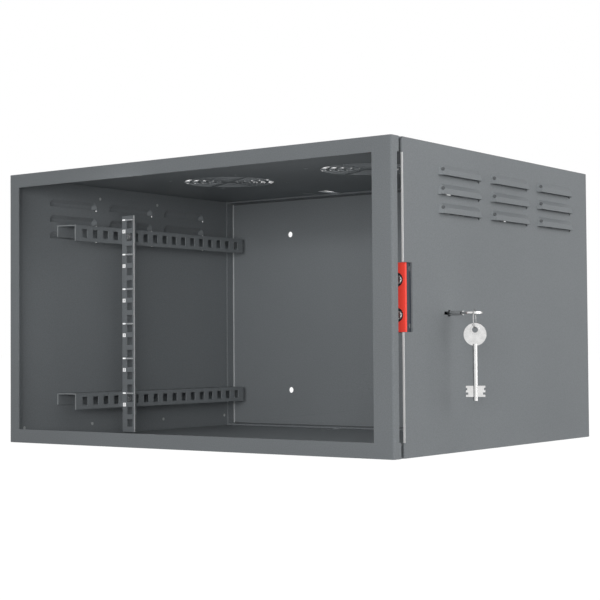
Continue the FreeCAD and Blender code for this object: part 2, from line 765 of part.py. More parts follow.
def rack_rail(label, side):
    outer = rail_out * side
    inner = rail_opening / 2 * side
    thin = rail_sheet * side
    face_back = fixing_back - rail_fixing_back
    body = new_body(label + "_body")
    section = new_sketch(body, label + "_section", "XY_Plane", rail_foot)
    draw_outline(section, [
        (inner, face_back), (outer, face_back), (outer, face_back + rail_leg),
        (outer - thin, face_back + rail_leg), (outer - thin, face_back + rail_sheet),
        (inner, face_back + rail_sheet)])
    pad(body, section, rail_length)
    trio = new_sketch(body, label + "_trio", "XZ_Plane", -face_back)
    middle = (rail_opening / 2 + rack_hole_past) * side
    for step in (-1, 0, 1):
        level = rail_foot + rail_end + unit_height / 2 + unit_height * step * 5 / 14
        draw_rectangle(trio, (middle - rack_hole / 2, level - rack_hole / 2),
                       (middle + rack_hole / 2, level + rack_hole / 2))
    holes = cut_to(body, trio, rail_sheet)
    units = body.newObject("PartDesign::LinearPattern", label + "_units")
    units.Originals = [holes]
    units.Direction = (trio, ["V_Axis"])
    units.Mode = "Extent"
    bind(units, "Length", unit_height * (unit_count - 1))
    units.Occurrences = unit_count
    body.Tip = units
    fixings = new_sketch(body, label + "_fixings", "YZ_Plane", outer)
    for level in fixing_levels:
        draw_circle(fixings, (fixing_back, level), rail_screw + 2 * running_gap)
    cut_through(body, fixings)
    finish(label, body)


rack_rail("rack_rail_left", -1)
rack_rail("rack_rail_right", 1)


# Rail screws and nuts: one pair where each rail crosses each bracket

screws = []
nuts = []
for side in (-1, 1):
    outward = RIGHT if side > 0 else LEFT
    leg_face = (rail_out - rail_sheet) * side
    nut_face = (rail_out + bracket_sheet) * side
    for level in fixing_levels:
        shank = cylinder("rail_shank", rail_screw, rail_screw_length,
                         (leg_face, fixing_back, level), outward)
        head = cylinder("rail_head", rail_screw_head, rail_head_rise,
                        (leg_face, fixing_back, level), outward * -1)
        screws.append(unite("rail_screw_one", [shank, head]))
        corner = nut_face if side > 0 else nut_face - rail_nut_rise
        block = box("rail_nut_block", (corner, fixing_back - rail_nut / 2, level - rail_nut / 2),
                    (rail_nut_rise, rail_nut, rail_nut))
        bore = cylinder("rail_nut_bore", rail_screw + 2 * running_gap, rail_screw_length,
                        (leg_face, fixing_back, level), outward)
        nuts.append(subtract("rail_nut_one", block, [bore]))
finish("rail_screws", gather("rail_screw_set", screws))
finish("rail_nuts", gather("rail_nut_set", nuts))


# Lock: a flat case behind the right side, its face plate showing in the notch

lock_x = right_in - lock_depth
case_front = front + lock_front + face_plate
case_rear = front + lock_rear
cover_x = lock_x + lock_wall
bolt_x = right_out - bolt_inset
bolt_levels = (notch_low + bolt_edge, notch_high - bolt_edge)
stud_spots = [
    (back, level)
    for back in (case_front + stud_edge, case_rear - stud_edge)
    for level in (notch_low + stud_edge, notch_high - stud_edge)]

plate = new_body("face_plate_body")
outline = new_sketch(plate, "face_plate_outline", "XZ_Plane", -(front + lock_front))
draw_rectangle(outline, (lock_x, notch_low), (right_in, notch_high))
for level in bolt_levels:
    draw_circle(outline, (bolt_x, level), bolt_size + bolt_window)
pad(plate, outline, face_plate, flip=True)
finish("lock_faceplate", plate)

lock_case = new_body("lock_case_body")
block = new_sketch(lock_case, "lock_case_block", "YZ_Plane", cover_x)
draw_rectangle(block, (case_front, notch_low), (case_rear, notch_high))
pad(lock_case, block, lock_depth - lock_wall)
hollow = new_sketch(lock_case, "lock_case_hollow", "YZ_Plane", cover_x)
draw_rectangle(hollow, (case_front + lock_wall, notch_low + lock_wall),
               (case_rear - lock_wall, notch_high - lock_wall))
cut_to(lock_case, hollow, lock_depth - lock_wall * 2, flip=True)
cut_keyhole(lock_case, "lock_case_keyhole", right_in, lock_wall)
fixings = new_sketch(lock_case, "lock_case_fixings", "YZ_Plane", right_in)
for spot in stud_spots:
    draw_circle(fixings, spot, stud_size + 4 * running_gap)
cut_to(lock_case, fixings, lock_wall)
guides = new_sketch(lock_case, "lock_case_guides", "XZ_Plane", -case_front)
for level in bolt_levels:
    draw_circle(guides, (bolt_x, level), bolt_size + bolt_fit * 2)
cut_to(lock_case, guides, lock_wall)
finish("lock_case", lock_case)

cover = new_body("lock_cover_body")
outline = new_sketch(cover, "lock_cover_outline", "YZ_Plane", lock_x)
draw_rectangle(outline, (case_front, notch_low), (case_rear, notch_high))
draw_circle(outline, (front + key_back, key_level), key_shank + 6 * running_gap)
for spot in stud_spots:
    draw_circle(outline, spot, stud_size + 4 * running_gap)
pad(cover, outline, lock_wall)
finish("lock_cover", cover)

studs = []
stud_nuts = []
for back, level in stud_spots:
    reach = lock_depth + stud_nut_rise + 1
    studs.append(cylinder("lock_stud_one", stud_size, reach, (right_in, back, level), LEFT))
    prism = doc.addObject("Part::Prism", "lock_nut_prism")
    prism.Polygon = 6
    bind(prism, "Circumradius", stud_nut / math.sqrt(3))
    bind(prism, "Height", stud_nut_rise)
    prism.Placement = Placement(Vector(0, 0, 0), Rotation(UP, LEFT))
    place(prism, lock_x, back, level)
    bore = cylinder("lock_nut_bore", stud_size + 2 * running_gap, stud_nut_rise, (lock_x, back, level), LEFT)
    stud_nuts.append(subtract("lock_nut_one", prism, [bore]))
finish("lock_studs", gather("lock_stud_set", studs))
finish("lock_nuts", gather("lock_nut_set", stud_nuts))


# Bolts and their tail: two round bolts riveted to one folded plate, thrown together by the key

bolt_nose_back = front + lock_front
bolt_end = bolt_nose_back + bolt_length
bolts = []
for level in bolt_levels:
    rod = new_body("bolt_rod")
    profile = new_sketch(rod, rod.Name + "_profile", "XY_Plane", level)
    draw_outline(profile, [
        (bolt_x, bolt_nose_back), (bolt_x + bolt_size / 2 - bolt_nose, bolt_nose_back),
        (bolt_x + bolt_size / 2, bolt_nose_back + bolt_nose), (bolt_x + bolt_size / 2, bolt_end),
        (bolt_x + bolt_shank / 2, bolt_end), (bolt_x + bolt_shank / 2, bolt_end + tail_sheet),
        (bolt_x, bolt_end + tail_sheet)])
    turned = rod.newObject("PartDesign::Revolution", rod.Name + "_turned")
    turned.Profile = profile
    turned.ReferenceAxis = (profile, ["Edge7"])
    turned.Angle = 360
    bolts.append(rod)
finish("lock_bolts", gather("bolt_set", bolts))

tail_x = right_out - tail_inset
yoke_low = notch_low + yoke_edge
web_rear = front + key_back - bit_sweep - arm_gap
arm_rear = front + pivot_back - pivot_size
tail = new_body("bolt_tail_body")
section = new_sketch(tail, "bolt_tail_yoke", "XZ_Plane", -bolt_end)
draw_rectangle(section, (tail_x - tail_sheet, yoke_low), (bolt_x + bolt_size / 2, lever_top))
for level in bolt_levels:
    draw_circle(section, (bolt_x, level), bolt_shank + running_gap * 2)
pad(tail, section, tail_sheet, flip=True)
web = new_sketch(tail, "bolt_tail_web", "YZ_Plane", tail_x)
draw_outline(web, [
    (bolt_end, yoke_low), (web_rear, yoke_low), (web_rear, lever_low), (arm_rear, lever_low),
    (arm_rear, lever_top), (bolt_end, lever_top)])
pad(tail, web, tail_sheet, flip=True)
post = new_sketch(tail, "bolt_tail_stump", "YZ_Plane", tail_x - tail_sheet)
draw_circle(post, (front + stump_back, stump_level), stump_size)
pad(tail, post, lever_far - tail_inset - tail_sheet, flip=True)
finish("bolt_tail", tail)


# Levers: plates that drop over the bolt's stump, hung on one post, each with a leaf spring

lever_front = front + stump_back - bolt_travel - stump_size - lever_lead
lever_rear = front + pivot_back + lever_back
levers = []
springs = []
for index in range(lever_count):
    lever_x = right_out - lever_inset - lever_pitch * index
    lever = new_body("lever_one")
    outline = new_sketch(lever, lever.Name + "_outline", "YZ_Plane", lever_x)
    draw_rectangle(outline, (lever_front, lever_low), (lever_rear, lever_top))
    gate_low = stump_level - stump_size / 2 - gate_lift
    gate_high = stump_level + stump_size / 2 + gate_gap
    draw_rectangle(outline, (front + stump_back - bolt_travel - stump_size / 2 - gate_gap, gate_low),
                   (front + stump_back + stump_size / 2 + gate_gap, gate_high))
    draw_circle(outline, (front + pivot_back, pivot_level), pivot_size + 2 * running_gap)
    pad(lever, outline, lever_sheet, flip=True)
    levers.append(lever)
    leaf = new_body("spring_one")
    shape = new_sketch(leaf, leaf.Name + "_shape", "YZ_Plane", lever_x)
    leaf_low = lever_top + running_gap
    leaf_high = notch_high - lock_wall - running_gap
    leaf_front = lever_front + lever_lead / 2
    leaf_bend = leaf_front + spring_length
    draw_outline(shape, [
        (leaf_front, leaf_low), (leaf_bend, leaf_low), (leaf_bend, leaf_low + spring_sheet * 2),
        (leaf_front + spring_sheet * 2, leaf_high), (leaf_front, leaf_high),
        (leaf_front, leaf_high - spring_sheet), (leaf_bend - spring_sheet * 2, leaf_low + spring_sheet),
        (leaf_front, leaf_low + spring_sheet)])
    pad(leaf, shape, lever_sheet, flip=True)
    springs.append(leaf)
finish("levers", gather("lever_set", levers))
finish("lever_springs", gather("spring_set", springs))
post_length = lock_depth - lock_wall * 2
finish("lever_post", cylinder("lever_post_rod", pivot_size, post_length,
                              (right_in - lock_wall, front + pivot_back, pivot_level), LEFT))


# Keys: a turned shank with two stepped bits at one end and a round bow at the other


def double_bit_key(label):
    """A key hanging by its bow: its tip at the origin, its length up Z and its face to the front."""
    bow_centre = key_length - key_bow / 2
    eye_centre = bow_centre + key_eye_offset
    half = bit_sheet / 2
    body = new_body(label + "_body")
    bow = new_sketch(body, label + "_bow", "XZ_Plane", -key_bow_sheet / 2)
    draw_circle(bow, (0, bow_centre), key_bow)
    pad(body, bow, key_bow_sheet)
    rim = new_sketch(body, label + "_rim", "XZ_Plane", -key_bow_sheet / 2 - eye_proud)
    draw_circle(rim, (0, eye_centre), key_eye + eye_rim * 2)
    pad(body, rim, key_bow_sheet + 2 * eye_proud)
    bits = new_sketch(body, label + "_bits", "XZ_Plane", -half)
    wide = bit_span / 2
    step = bit_height / 5
    deep = wide - bit_deep
    shallow = wide - bit_shallow
    side_points = [(wide, 0), (wide, 1), (deep, 1), (deep, 2), (wide, 2), (wide, 3),
                   (shallow, 3), (shallow, 4), (wide, 4), (wide, 5)]
    right_points = [(across, key_tip + step * up) for across, up in side_points]
    left_points = [(-across, level) for across, level in reversed(right_points)]
    draw_outline(bits, right_points + left_points)
    pad(body, bits, bit_sheet)
    shank = new_sketch(body, label + "_shank", "XY_Plane", Measure(0, "0"))
    draw_circle(shank, (0, 0), key_shank)
    pad(body, shank, key_length - key_bow + 2)
    eye = new_sketch(body, label + "_eye", "XZ_Plane", Measure(0, "0"))
    draw_circle(eye, (0, eye_centre), key_eye)
    cut_through(body, eye)
    return body


key_tip_x = right_out + key_reach - key_length
lock_key = double_bit_key("lock_key")
lock_key.Placement = Placement(Vector(0, 0, 0), Rotation(Vector(1, 1, 1), 120))
place(lock_key, key_tip_x, front + key_back, key_level)
finish("lock_key", lock_key)


# Ring and spare key: the ring lies over the bow's edge, through its hole, and the spare hangs on it

turn = math.radians(ring_turn.number)
toward_x = math.sin(turn)
toward_y = -math.cos(turn)
eye_from_end = key_bow.number / 2 - key_eye_offset.number
bow_edge = -key_eye_offset.number * toward_x + math.sqrt(
    (key_bow.number / 2) ** 2 - (key_eye_offset.number * toward_y) ** 2)
seat_mid = -bow_edge / 2 - key_eye.number / 4
seat_reach = abs(seat_mid)
seat_half = (bow_edge - key_eye.number / 2) / 2
ring_inner = ring_size.number / 2 - ring_wire.number
ring_sag = math.sqrt(ring_inner ** 2 - seat_half ** 2)
ring_x = right_out + key_reach - eye_from_end + toward_x * seat_reach
ring_y = front + key_back + toward_y * seat_reach
ring_z = key_level + key_bow_sheet / 2 + eye_proud + hang_gap - ring_sag
ring = new_body("ring_body")
wire = new_sketch(ring, "ring_wire_section", "XZ_Plane", Measure(0, "0"))
wire_points = []
for step in range(10):
    angle = math.radians(36 * step + 18)
    wire_points.append(((ring_size - ring_wire) / 2 + ring_wire / 2 * round(math.cos(angle), 6),
                        ring_wire / 2 * round(math.sin(angle), 6)))
draw_outline(wire, wire_points)
hoop = ring.newObject("PartDesign::Revolution", "ring_hoop")
hoop.Profile = wire
hoop.ReferenceAxis = (wire, ["V_Axis"])
hoop.Angle = 360
ring.Placement = Placement(Vector(0, 0, 0), Rotation(UP, Vector(math.cos(turn), math.sin(turn), 0)))
place(ring, ring_x, ring_y, ring_z)
finish("key_ring", ring)

spare_key = double_bit_key("spare_key")
spare_key.Placement = Placement(Vector(0, 0, 0), Rotation(UP, spare_turn.number))
spare_eye_z = ring_z - ring_inner + hang_gap - key_eye / 2
place(spare_key, ring_x, ring_y, spare_eye_z - key_length + key_bow / 2 - key_eye_offset)
finish("spare_key", spare_key)


# Check every object, then write each sub-part to its own file

doc.recompute()
for item in doc.Objects:
    faults = [state for state in item.State if state in ("Invalid", "Error")]
    if faults:
        raise RuntimeError(f"{item.Name} ({item.Label}) is {faults}")
for label, item in finished.items():
    shape = item.Shape
    if shape.isNull() or not shape.isValid() or not shape.Solids:
        raise RuntimeError(f"{label} has no valid shape")
    box_now = shape.BoundBox
    print(f"{label}: {len(shape.Solids)} solid, {shape.Volume / 1000:.2f} cm3,"
          f" x {box_now.XMin:.1f}..{box_now.XMax:.1f}"
          f" y {box_now.YMin:.1f}..{box_now.YMax:.1f} z {box_now.ZMin:.1f}..{box_now.ZMax:.1f}")
    shape.exportStep(f"parts/{label}.step")
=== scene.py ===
import bpy
import math
from mathutils import Matrix, Vector


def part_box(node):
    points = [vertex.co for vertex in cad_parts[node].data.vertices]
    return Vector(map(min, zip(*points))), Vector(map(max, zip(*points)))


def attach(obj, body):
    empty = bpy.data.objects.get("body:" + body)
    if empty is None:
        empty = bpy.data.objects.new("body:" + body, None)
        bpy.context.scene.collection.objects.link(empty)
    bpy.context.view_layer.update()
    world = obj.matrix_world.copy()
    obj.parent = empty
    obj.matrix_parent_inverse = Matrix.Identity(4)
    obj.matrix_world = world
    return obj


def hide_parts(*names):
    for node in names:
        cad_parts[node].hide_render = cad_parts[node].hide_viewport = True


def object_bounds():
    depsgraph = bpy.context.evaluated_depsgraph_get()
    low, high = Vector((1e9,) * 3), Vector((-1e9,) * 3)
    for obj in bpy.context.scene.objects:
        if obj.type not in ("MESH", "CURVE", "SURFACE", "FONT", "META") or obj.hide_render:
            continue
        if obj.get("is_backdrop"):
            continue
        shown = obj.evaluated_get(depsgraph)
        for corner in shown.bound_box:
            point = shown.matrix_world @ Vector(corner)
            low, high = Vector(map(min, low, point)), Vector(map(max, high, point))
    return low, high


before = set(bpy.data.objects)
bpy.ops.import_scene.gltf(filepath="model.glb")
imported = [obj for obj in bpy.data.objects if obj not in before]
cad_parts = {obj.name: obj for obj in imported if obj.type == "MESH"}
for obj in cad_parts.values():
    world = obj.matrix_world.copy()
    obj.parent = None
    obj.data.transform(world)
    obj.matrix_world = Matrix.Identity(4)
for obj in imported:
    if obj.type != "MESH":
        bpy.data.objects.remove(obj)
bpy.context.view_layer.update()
bpy.ops.object.select_all(action="DESELECT")

# View and studio: the camera stands low at the cabinet's front right corner. The world and the
# pale floor show as white, large soft lamps stand in front, to the right and behind, and two small
# ones at the opening and under the roof fill the inside.
camera = bpy.data.objects.new("camera", bpy.data.cameras.new("camera"))
bpy.context.scene.collection.objects.link(camera)
camera.data.sensor_width = 36
camera.data.lens = 88.64
camera.data.clip_start = 0.01
camera.data.clip_end = 100
turned = Matrix.Rotation(0.634724, 4, "Z") @ Matrix.Rotation(math.pi / 2 + 0.032467, 4, "X")
turned = turned @ Matrix.Rotation(-0.006898, 4, "Z")
camera.matrix_world = Matrix.Translation((1.065191, -1.447598, 0.110783)) @ turned
bpy.context.scene.camera = camera
bpy.context.scene.view_settings.view_transform = "Standard"


def seen_directly(tree):
    """One for rays from the camera, from reflections or through glass; nought for light."""
    path = tree.nodes.new("ShaderNodeLightPath")
    first = tree.nodes.new("ShaderNodeMath")
    first.operation = "MAXIMUM"
    second = tree.nodes.new("ShaderNodeMath")
    second.operation = "MAXIMUM"
    tree.links.new(path.outputs["Is Camera Ray"], first.inputs[0])
    tree.links.new(path.outputs["Is Glossy Ray"], first.inputs[1])
    tree.links.new(first.outputs[0], second.inputs[0])
    tree.links.new(path.outputs["Is Transmission Ray"], second.inputs[1])
    return second.outputs[0]


world = bpy.data.worlds.new("white_studio")
bpy.context.scene.world = world
world.use_nodes = True
sky = world.node_tree
sky.nodes.clear()
soft_light = sky.nodes.new("ShaderNodeBackground")
soft_light.inputs["Color"].default_value = (1, 1, 1, 1)
soft_light.inputs["Strength"].default_value = 0.06
white = sky.nodes.new("ShaderNodeBackground")
white.inputs["Color"].default_value = (1, 1, 1, 1)
white.inputs["Strength"].default_value = 1.0
blend = sky.nodes.new("ShaderNodeMixShader")
sky.links.new(seen_directly(sky), blend.inputs[0])
sky.links.new(soft_light.outputs[0], blend.inputs[1])
sky.links.new(white.outputs[0], blend.inputs[2])
sky.links.new(blend.outputs[0], sky.nodes.new("ShaderNodeOutputWorld").inputs[0])

bpy.ops.mesh.primitive_plane_add(size=30, location=(0, 0, -0.0006))
floor = bpy.context.object
floor.name = "studio_floor"
floor_paint = bpy.data.materials.new("studio_floor")
floor_paint.use_nodes = True
ground = floor_paint.node_tree
ground.nodes.clear()
pale = ground.nodes.new("ShaderNodeBsdfDiffuse")
pale.inputs["Color"].default_value = (0.5, 0.5, 0.5, 1)
shine = ground.nodes.new("ShaderNodeEmission")
shine.inputs["Strength"].default_value = 1.12
share = ground.nodes.new("ShaderNodeMath")
share.operation = "MULTIPLY"
share.inputs[1].default_value = 0.9
ground.links.new(seen_directly(ground), share.inputs[0])
cover = ground.nodes.new("ShaderNodeMixShader")
ground.links.new(share.outputs[0], cover.inputs[0])
ground.links.new(pale.outputs[0], cover.inputs[1])
ground.links.new(shine.outputs[0], cover.inputs[2])
ground.links.new(cover.outputs[0], ground.nodes.new("ShaderNodeOutputMaterial").inputs[0])
floor.data.materials.append(floor_paint)
floor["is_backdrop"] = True

for name, place, size, power, aim, mirrored in (
        ("front_lamp", (0.8, -1.95, 0.3), (1.4, 0.54), 20.6, (0, 0, 0.16), False),
        ("side_lamp", (3.2, 1.0, 1.2), (3.8, 3.2), 80, (0, 0, 0.16), True),
        ("back_lamp", (-2.3, 2.6, 1.6), (2.2, 2.2), 45, (0, 0, 0.16), True),
        ("inside_fill", (0.06, -0.212, 0.2), (0.34, 0.2), 0.15, (-0.1, 0.22, 0.09), False),
        ("floor_fill", (0, 0.02, 0.27), (0.36, 0.3), 0.08, (0, 0.021, 0), False)):
    lamp = bpy.data.lights.new(name, "AREA")
    lamp.shape = "RECTANGLE"
    lamp.size, lamp.size_y = size
    lamp.energy = power
    holder = bpy.data.objects.new(name, lamp)
    bpy.context.scene.collection.objects.link(holder)
    holder.location = place
    holder.visible_glossy = mirrored
    holder.visible_camera = False
    holder.rotation_euler = (Vector(aim) - holder.location).to_track_quat("-Z", "Y").to_euler()


# Front frame: one picture frame folded from 2 mm steel, its outer edges bent round and its
# opening cut. It is powder coated in slate grey, with a fine grain that shows close by.
def powder_coat(name, colour, roughness, grain=0.07):
    """Baked powder coat: a fine speckle, a slow drift of tone and a light peel."""
    made = bpy.data.materials.new(name)
    made.use_nodes = True
    tree = made.node_tree
    shader = tree.nodes["Principled BSDF"]
    spot = tree.nodes.new("ShaderNodeTexCoord")
    noises = []
    for scale, detail in ((850, 3), (6, 2), (420, 1)):
        noise = tree.nodes.new("ShaderNodeTexNoise")
        noise.inputs["Scale"].default_value = scale
        noise.inputs["Detail"].default_value = detail
        tree.links.new(spot.outputs["Object"], noise.inputs["Vector"])
        noises.append(noise.outputs["Fac"])
    speckle, drift, peel = noises
    mixed = tree.nodes.new("ShaderNodeMath")
    mixed.operation = "MULTIPLY_ADD"
    mixed.inputs[1].default_value = 0.4
    tree.links.new(drift, mixed.inputs[0])
    tree.links.new(speckle, mixed.inputs[2])
    ramp = tree.nodes.new("ShaderNodeValToRGB")
    ramp.color_ramp.elements[0].position = 0.4
    ramp.color_ramp.elements[0].color = [value * (1 - 2 * grain) for value in colour] + [1]
    ramp.color_ramp.elements[1].position = 1.0
    ramp.color_ramp.elements[1].color = [min(value * (1 + 2 * grain), 1) for value in colour] + [1]
    tree.links.new(mixed.outputs[0], ramp.inputs[0])
    tree.links.new(ramp.outputs[0], shader.inputs["Base Color"])
    gloss = tree.nodes.new("ShaderNodeMapRange")
    gloss.inputs["To Min"].default_value = roughness - 0.05
    gloss.inputs["To Max"].default_value = roughness + 0.08
    tree.links.new(speckle, gloss.inputs["Value"])
    tree.links.new(gloss.outputs[0], shader.inputs["Roughness"])
    shader.inputs["Specular IOR Level"].default_value = 0.2
    bump = tree.nodes.new("ShaderNodeBump")
    bump.inputs["Strength"].default_value = 0.3
    bump.inputs["Distance"].default_value = 0.0002
    tree.links.new(peel, bump.inputs["Height"])
    tree.links.new(bump.outputs[0], shader.inputs["Normal"])
    return made


def alone(item):
    """Select one object and make it active."""
    bpy.ops.object.select_all(action="DESELECT")
    bpy.context.view_layer.objects.active = item
    item.select_set(True)


def plain_copy(node, name, clean=True):
    """The node's shape as a new object, its triangles joined into clean faces where asked."""
    item = bpy.data.objects.new(name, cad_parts[node].data.copy())
    bpy.context.scene.collection.objects.link(item)
    alone(item)
    bpy.ops.object.mode_set(mode="EDIT")
    bpy.ops.mesh.select_all(action="SELECT")
    bpy.ops.mesh.remove_doubles(threshold=0.000002)
    if clean:
        bpy.ops.mesh.dissolve_limited(angle_limit=math.radians(0.4))
    bpy.ops.object.mode_set(mode="OBJECT")
    return item


def round_off(item, width, steps=2):
    """Round over the sharp edges and shade the rounds smoothly against flat faces."""
    alone(item)
    edge = item.modifiers.new("round", "BEVEL")
    edge.width = width
    edge.segments = steps
    edge.limit_method = "ANGLE"
    edge.angle_limit = math.radians(35)
    bpy.ops.object.modifier_apply(modifier=edge.name)
    bpy.ops.object.shade_smooth_by_angle(angle=math.radians(50))
    weigh = item.modifiers.new("weigh", "WEIGHTED_NORMAL")
    weigh.keep_sharp = True
    bpy.ops.object.modifier_apply(modifier=weigh.name)


def dress(item, node, body, material):
    """Give the piece its material and let it stand for the node on its body."""
    item.data.materials.clear()
    item.data.materials.append(material)
    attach(item, body)
    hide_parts(node)


slate = powder_coat("slate_powder_coat", (0.23, 0.247, 0.259), 0.48)
front = plain_copy("front_frame", "folded_front_frame")
round_off(front, 0.0003)
dress(front, "front_frame", "case", slate)


# Slide guides: two angles bent from 1.5 mm steel, spot welded behind the front frame's top and
# bottom bands. They make a channel behind each band, and carry the same coat.
for node in ("top_slide_guide", "bottom_slide_guide"):
    guide = plain_copy(node, node + "_angle")
    round_off(guide, 0.0003)
    dress(guide, node, "case", slate)


# Top and bottom panels: flat 2 mm sheets between the sides, with cable entries near the back.
# The top has two fan grilles cut into it, rings of slots broken by spokes. The slot walls that
# face along one diagonal are coloured near-white steel, a painted highlight.
def coat(node, material):
    """Finish a CAD node that keeps its own shape."""
    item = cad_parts[node]
    item.data.materials.clear()
    item.data.materials.append(material)


def paint_faces(item, material, wanted):
    """Give a second finish to the faces whose centre and normal pass a test."""
    item.data.materials.append(material)
    for face in item.data.polygons:
        if wanted(face.center, face.normal):
            face.material_index = 1


# A near-white steel finish, used as a painted highlight on the grille's slot walls, the right sheet's
# front edge and the rails' free edges.
bright_steel_highlight = bpy.data.materials.new("steel_painted_highlight")
bright_steel_highlight.use_nodes = True
shader = bright_steel_highlight.node_tree.nodes["Principled BSDF"]
shader.inputs["Metallic"].default_value = 0.2
shader.inputs["Roughness"].default_value = 0.5
grain = bright_steel_highlight.node_tree.nodes.new("ShaderNodeTexNoise")
grain.inputs["Scale"].default_value = 500
tint = bright_steel_highlight.node_tree.nodes.new("ShaderNodeValToRGB")
tint.color_ramp.elements[0].color = (0.88, 0.88, 0.88, 1)
tint.color_ramp.elements[1].color = (0.95, 0.95, 0.95, 1)
place = bright_steel_highlight.node_tree.nodes.new("ShaderNodeTexCoord")
bright_steel_highlight.node_tree.links.new(place.outputs["Object"], grain.inputs["Vector"])
bright_steel_highlight.node_tree.links.new(grain.outputs["Fac"], tint.inputs[0])
bright_steel_highlight.node_tree.links.new(tint.outputs[0], shader.inputs["Base Color"])
coat("bottom_panel", slate)
roof = plain_copy("top_panel", "pierced_roof", clean=False)
dress(roof, "top_panel", "case", slate)
diagonal = Vector((0.81, 0.59, 0))
grille_reach = (0.26, 0.15)
paint_faces(roof, bright_steel_highlight, lambda spot, way: abs(way.dot(diagonal)) > 0.93
            and abs(spot.x) < grille_reach[0] and abs(spot.y) < grille_reach[1])


# Back panel: a shallow pressed tray, its rim folded forward and welded to the sides, with four
# plain round holes for the wall screws. The rim's top and bottom free edges are painted shade, a
# darker coat, and a bead of lighter coat down each upright inner corner is a painted highlight.
def select_edges(item, wanted):
    """Go into edit mode with the edges whose two ends pass a test, in metres, selected.

    Any other edge between two of those ends is selected with them.
    """
    alone(item)
    bpy.ops.object.mode_set(mode="EDIT")
    bpy.ops.mesh.select_all(action="DESELECT")
    bpy.ops.object.mode_set(mode="OBJECT")
    points = [point.co for point in item.data.vertices]
    for edge in item.data.edges:
        edge.select = wanted(points[edge.vertices[0]], points[edge.vertices[1]])
    bpy.ops.object.mode_set(mode="EDIT")


def another(item, place):
    """A copy of a finished shape with its own mesh, at a place given as a matrix."""
    twin = bpy.data.objects.new(item.name, item.data.copy())
    bpy.context.scene.collection.objects.link(twin)
    twin.matrix_world = place
    return twin


def join(items, name):
    """Make one object of several, its shape placed in its mesh."""
    alone(items[0])
    for item in items:
        item.select_set(True)
    bpy.ops.object.join()
    whole = bpy.context.object
    whole.name = name
    bpy.ops.object.transform_apply(location=True, rotation=True, scale=True)
    return whole


def add_to_case(item, material):
    """Give a small piece its material, and let the case carry it."""
    item.data.materials.clear()
    item.data.materials.append(material)
    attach(item, "case")


middle_height = 0.161
rim_front = 0.207
tray = plain_copy("back_panel", "back_tray")
select_edges(tray, lambda a, b: min(a.y, b.y) > 0.2035 and (a - b).length > 0.25)
bpy.ops.mesh.bevel(offset=0.0018, segments=4)
bpy.ops.object.mode_set(mode="OBJECT")
round_off(tray, 0.0003)
dress(tray, "back_panel", "case", slate)
painted_shade = powder_coat("painted_shade_slate_coat", (0.12, 0.128, 0.134), 0.5)
# Painted shade: the rim's top and bottom free edges are coloured darker than the sheet.
paint_faces(tray, painted_shade, lambda spot, way: way.y < -0.5 and spot.y < rim_front
            and abs(spot.z - middle_height) > 0.15)
# A lighter coat, used as a painted highlight on the tray's corner beads and on the spot welds.
painted_highlight_coat = powder_coat("painted_highlight_slate_coat", (0.52, 0.54, 0.55), 0.4)
beads = []
for across in (-0.2697, 0.2697):
    bpy.ops.mesh.primitive_cylinder_add(vertices=16, radius=0.0012, depth=0.312,
                                        location=(across, 0.2046, middle_height))
    beads.append(bpy.context.object)
beads = join(beads, "tray_corner_beads")
bpy.ops.object.shade_smooth_by_angle(angle=math.radians(50))
add_to_case(beads, painted_highlight_coat)


# Side panels: flat sheets with three columns of pressed louvres near the top. Pressing leaves
# soft shoulders round each hood, a crisp cut lip below and small relief notches at its ends. On
# the right side a painted highlight makes the coat a little lighter where a hood faces the front.
hood_front_highlight = powder_coat("hood_front_highlight_coat", (0.262, 0.28, 0.292), 0.46)
for node in ("left_side_panel", "right_side_panel"):
    panel = plain_copy(node, node.replace("_panel", "_sheet"))
    bpy.ops.object.mode_set(mode="EDIT")
    bpy.ops.mesh.select_all(action="DESELECT")
    bpy.ops.object.mode_set(mode="OBJECT")
    mesh = panel.data
    touching = {}
    # A hood's shoulder is a fold whose two faces both look outwards or both look inwards.
    for face in mesh.polygons:
        for key in face.edge_keys:
            touching.setdefault(key, []).append(face.normal)
    for edge in mesh.edges:
        sides = touching[edge.key]
        if len(sides) != 2 or sides[0].dot(sides[1]) > 0.97:
            continue
        if min(abs(sides[0].x), abs(sides[1].x)) > 0.3 and sides[0].x * sides[1].x > 0:
            edge.select = True
    bpy.ops.object.mode_set(mode="EDIT")
    bpy.ops.mesh.bevel(offset=0.0011, segments=3, clamp_overlap=True)
    bpy.ops.object.mode_set(mode="OBJECT")
    round_off(panel, 0.00025)
    dress(panel, node, "case", slate)
    paint_faces(panel, hood_front_highlight, lambda spot, way: spot.x > 0.2752 and way.y < -0.25)


# Press dimples: a small round dimple near the front top corner of each hood on the right side.
# It is a shallow pressed dish, coloured darker than the sheet as painted shade.
bpy.ops.mesh.primitive_cylinder_add(vertices=20, radius=0.0019, depth=0.0008)
dimple = bpy.context.object
dimple.name = "dimple"
alone(dimple)
bpy.ops.object.mode_set(mode="EDIT")
bpy.ops.mesh.select_all(action="DESELECT")
bpy.ops.object.mode_set(mode="OBJECT")
for face in dimple.data.polygons:
    face.select = face.normal.z > 0.5
bpy.ops.object.mode_set(mode="EDIT")
bpy.ops.mesh.inset(thickness=0.0004)
bpy.ops.mesh.inset(thickness=0.0006)
bpy.ops.transform.translate(value=(0, 0, -0.0002))
bpy.ops.object.mode_set(mode="OBJECT")
right_sheet = bpy.data.objects["right_side_sheet"]
hood_fronts = (-0.1313, -0.0213, 0.0888)
hood_lips = (0.2498, 0.2698, 0.2898)
behind_front, above_lip = 0.0046, 0.0062
dimples = []
for front_end in hood_fronts:
    for lip in hood_lips:
        outside = (0.3, front_end + behind_front, lip + above_lip)
        spot, way = right_sheet.ray_cast(outside, (-1, 0, 0))[1:3]
        facing = way.to_track_quat("Z", "Y").to_matrix().to_4x4()
        dimples.append(another(dimple, Matrix.Translation(spot) @ facing))
bpy.data.objects.remove(dimple)
add_to_case(join(dimples, "louvre_dimples"), painted_shade)
